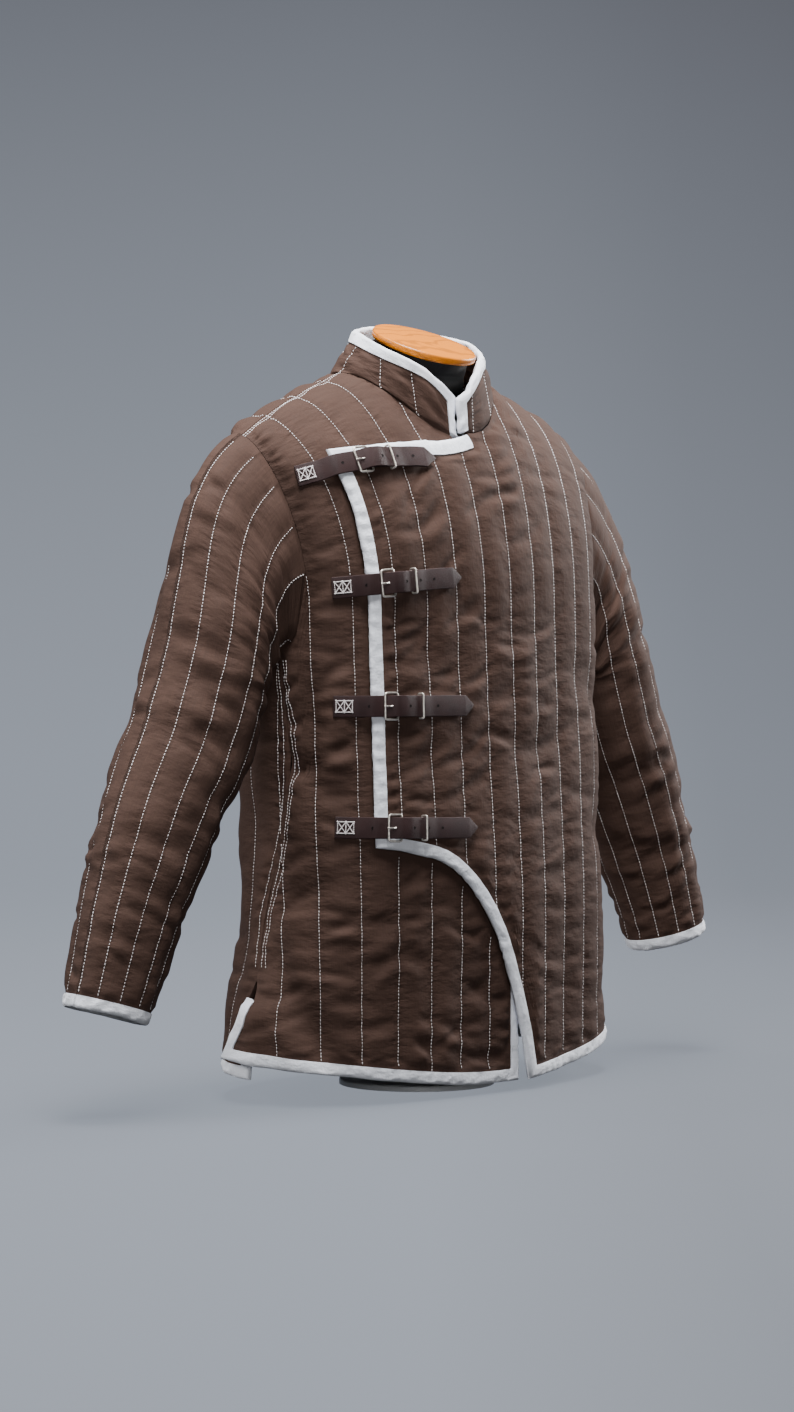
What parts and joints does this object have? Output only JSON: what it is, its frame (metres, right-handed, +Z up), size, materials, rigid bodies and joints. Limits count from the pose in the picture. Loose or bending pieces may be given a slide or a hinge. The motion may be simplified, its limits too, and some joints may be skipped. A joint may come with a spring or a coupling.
{
  "type": "gambeson on dress form",
  "caption": "Hip-length quilted brown gambeson with a stand-up collar, white bound edges and a diagonal flap closed by leather straps, worn by a limbless dress form.",
  "frame": {"origin": "on the underside of the round foot, on the centre plane of the dress form, 18 mm in front of the post's axis", "axes": "the wearer faces -Y, the wearer's left is +X and +Z is up"},
  "size_m": [0.8759, 0.2551, 0.7623],
  "materials": {
    "quilted_cotton": "matt woven cotton, quilted in vertical channels",
    "white_binding": "matt white cotton tape",
    "strap_leather": "smooth dark brown, slightly worn",
    "nickel_wire": "nickel-plated steel wire",
    "form_jersey": "black stretch jersey over a hard form",
    "neck_wood": "varnished light wood",
    "stand_steel": "pale grey paint"
  },
  "bodies": {
    "root": {"back": "quilted_cotton", "front_left": "quilted_cotton", "front_right": "quilted_cotton", "sleeve_left": "quilted_cotton", "sleeve_right": "quilted_cotton", "collar": "quilted_cotton", "binding_back": "white_binding", "binding_front_left": "white_binding", "binding_front_right": "white_binding", "collar_binding": "white_binding", "cuff_left": "white_binding", "cuff_right": "white_binding", "strap_1": "strap_leather", "strap_2": "strap_leather", "strap_3": "strap_leather", "strap_4": "strap_leather", "tab_1": "strap_leather", "tab_2": "strap_leather", "tab_3": "strap_leather", "tab_4": "strap_leather", "buckle_1": "nickel_wire", "buckle_2": "nickel_wire", "buckle_3": "nickel_wire", "buckle_4": "nickel_wire", "keeper_1": "nickel_wire", "keeper_2": "nickel_wire", "keeper_3": "nickel_wire", "keeper_4": "nickel_wire", "prong_1": "nickel_wire", "prong_2": "nickel_wire", "prong_3": "nickel_wire", "prong_4": "nickel_wire", "form_torso": "form_jersey", "neck_cap": "neck_wood", "post": "stand_steel", "foot_plate": "stand_steel"}
  },
  "joints": []
}
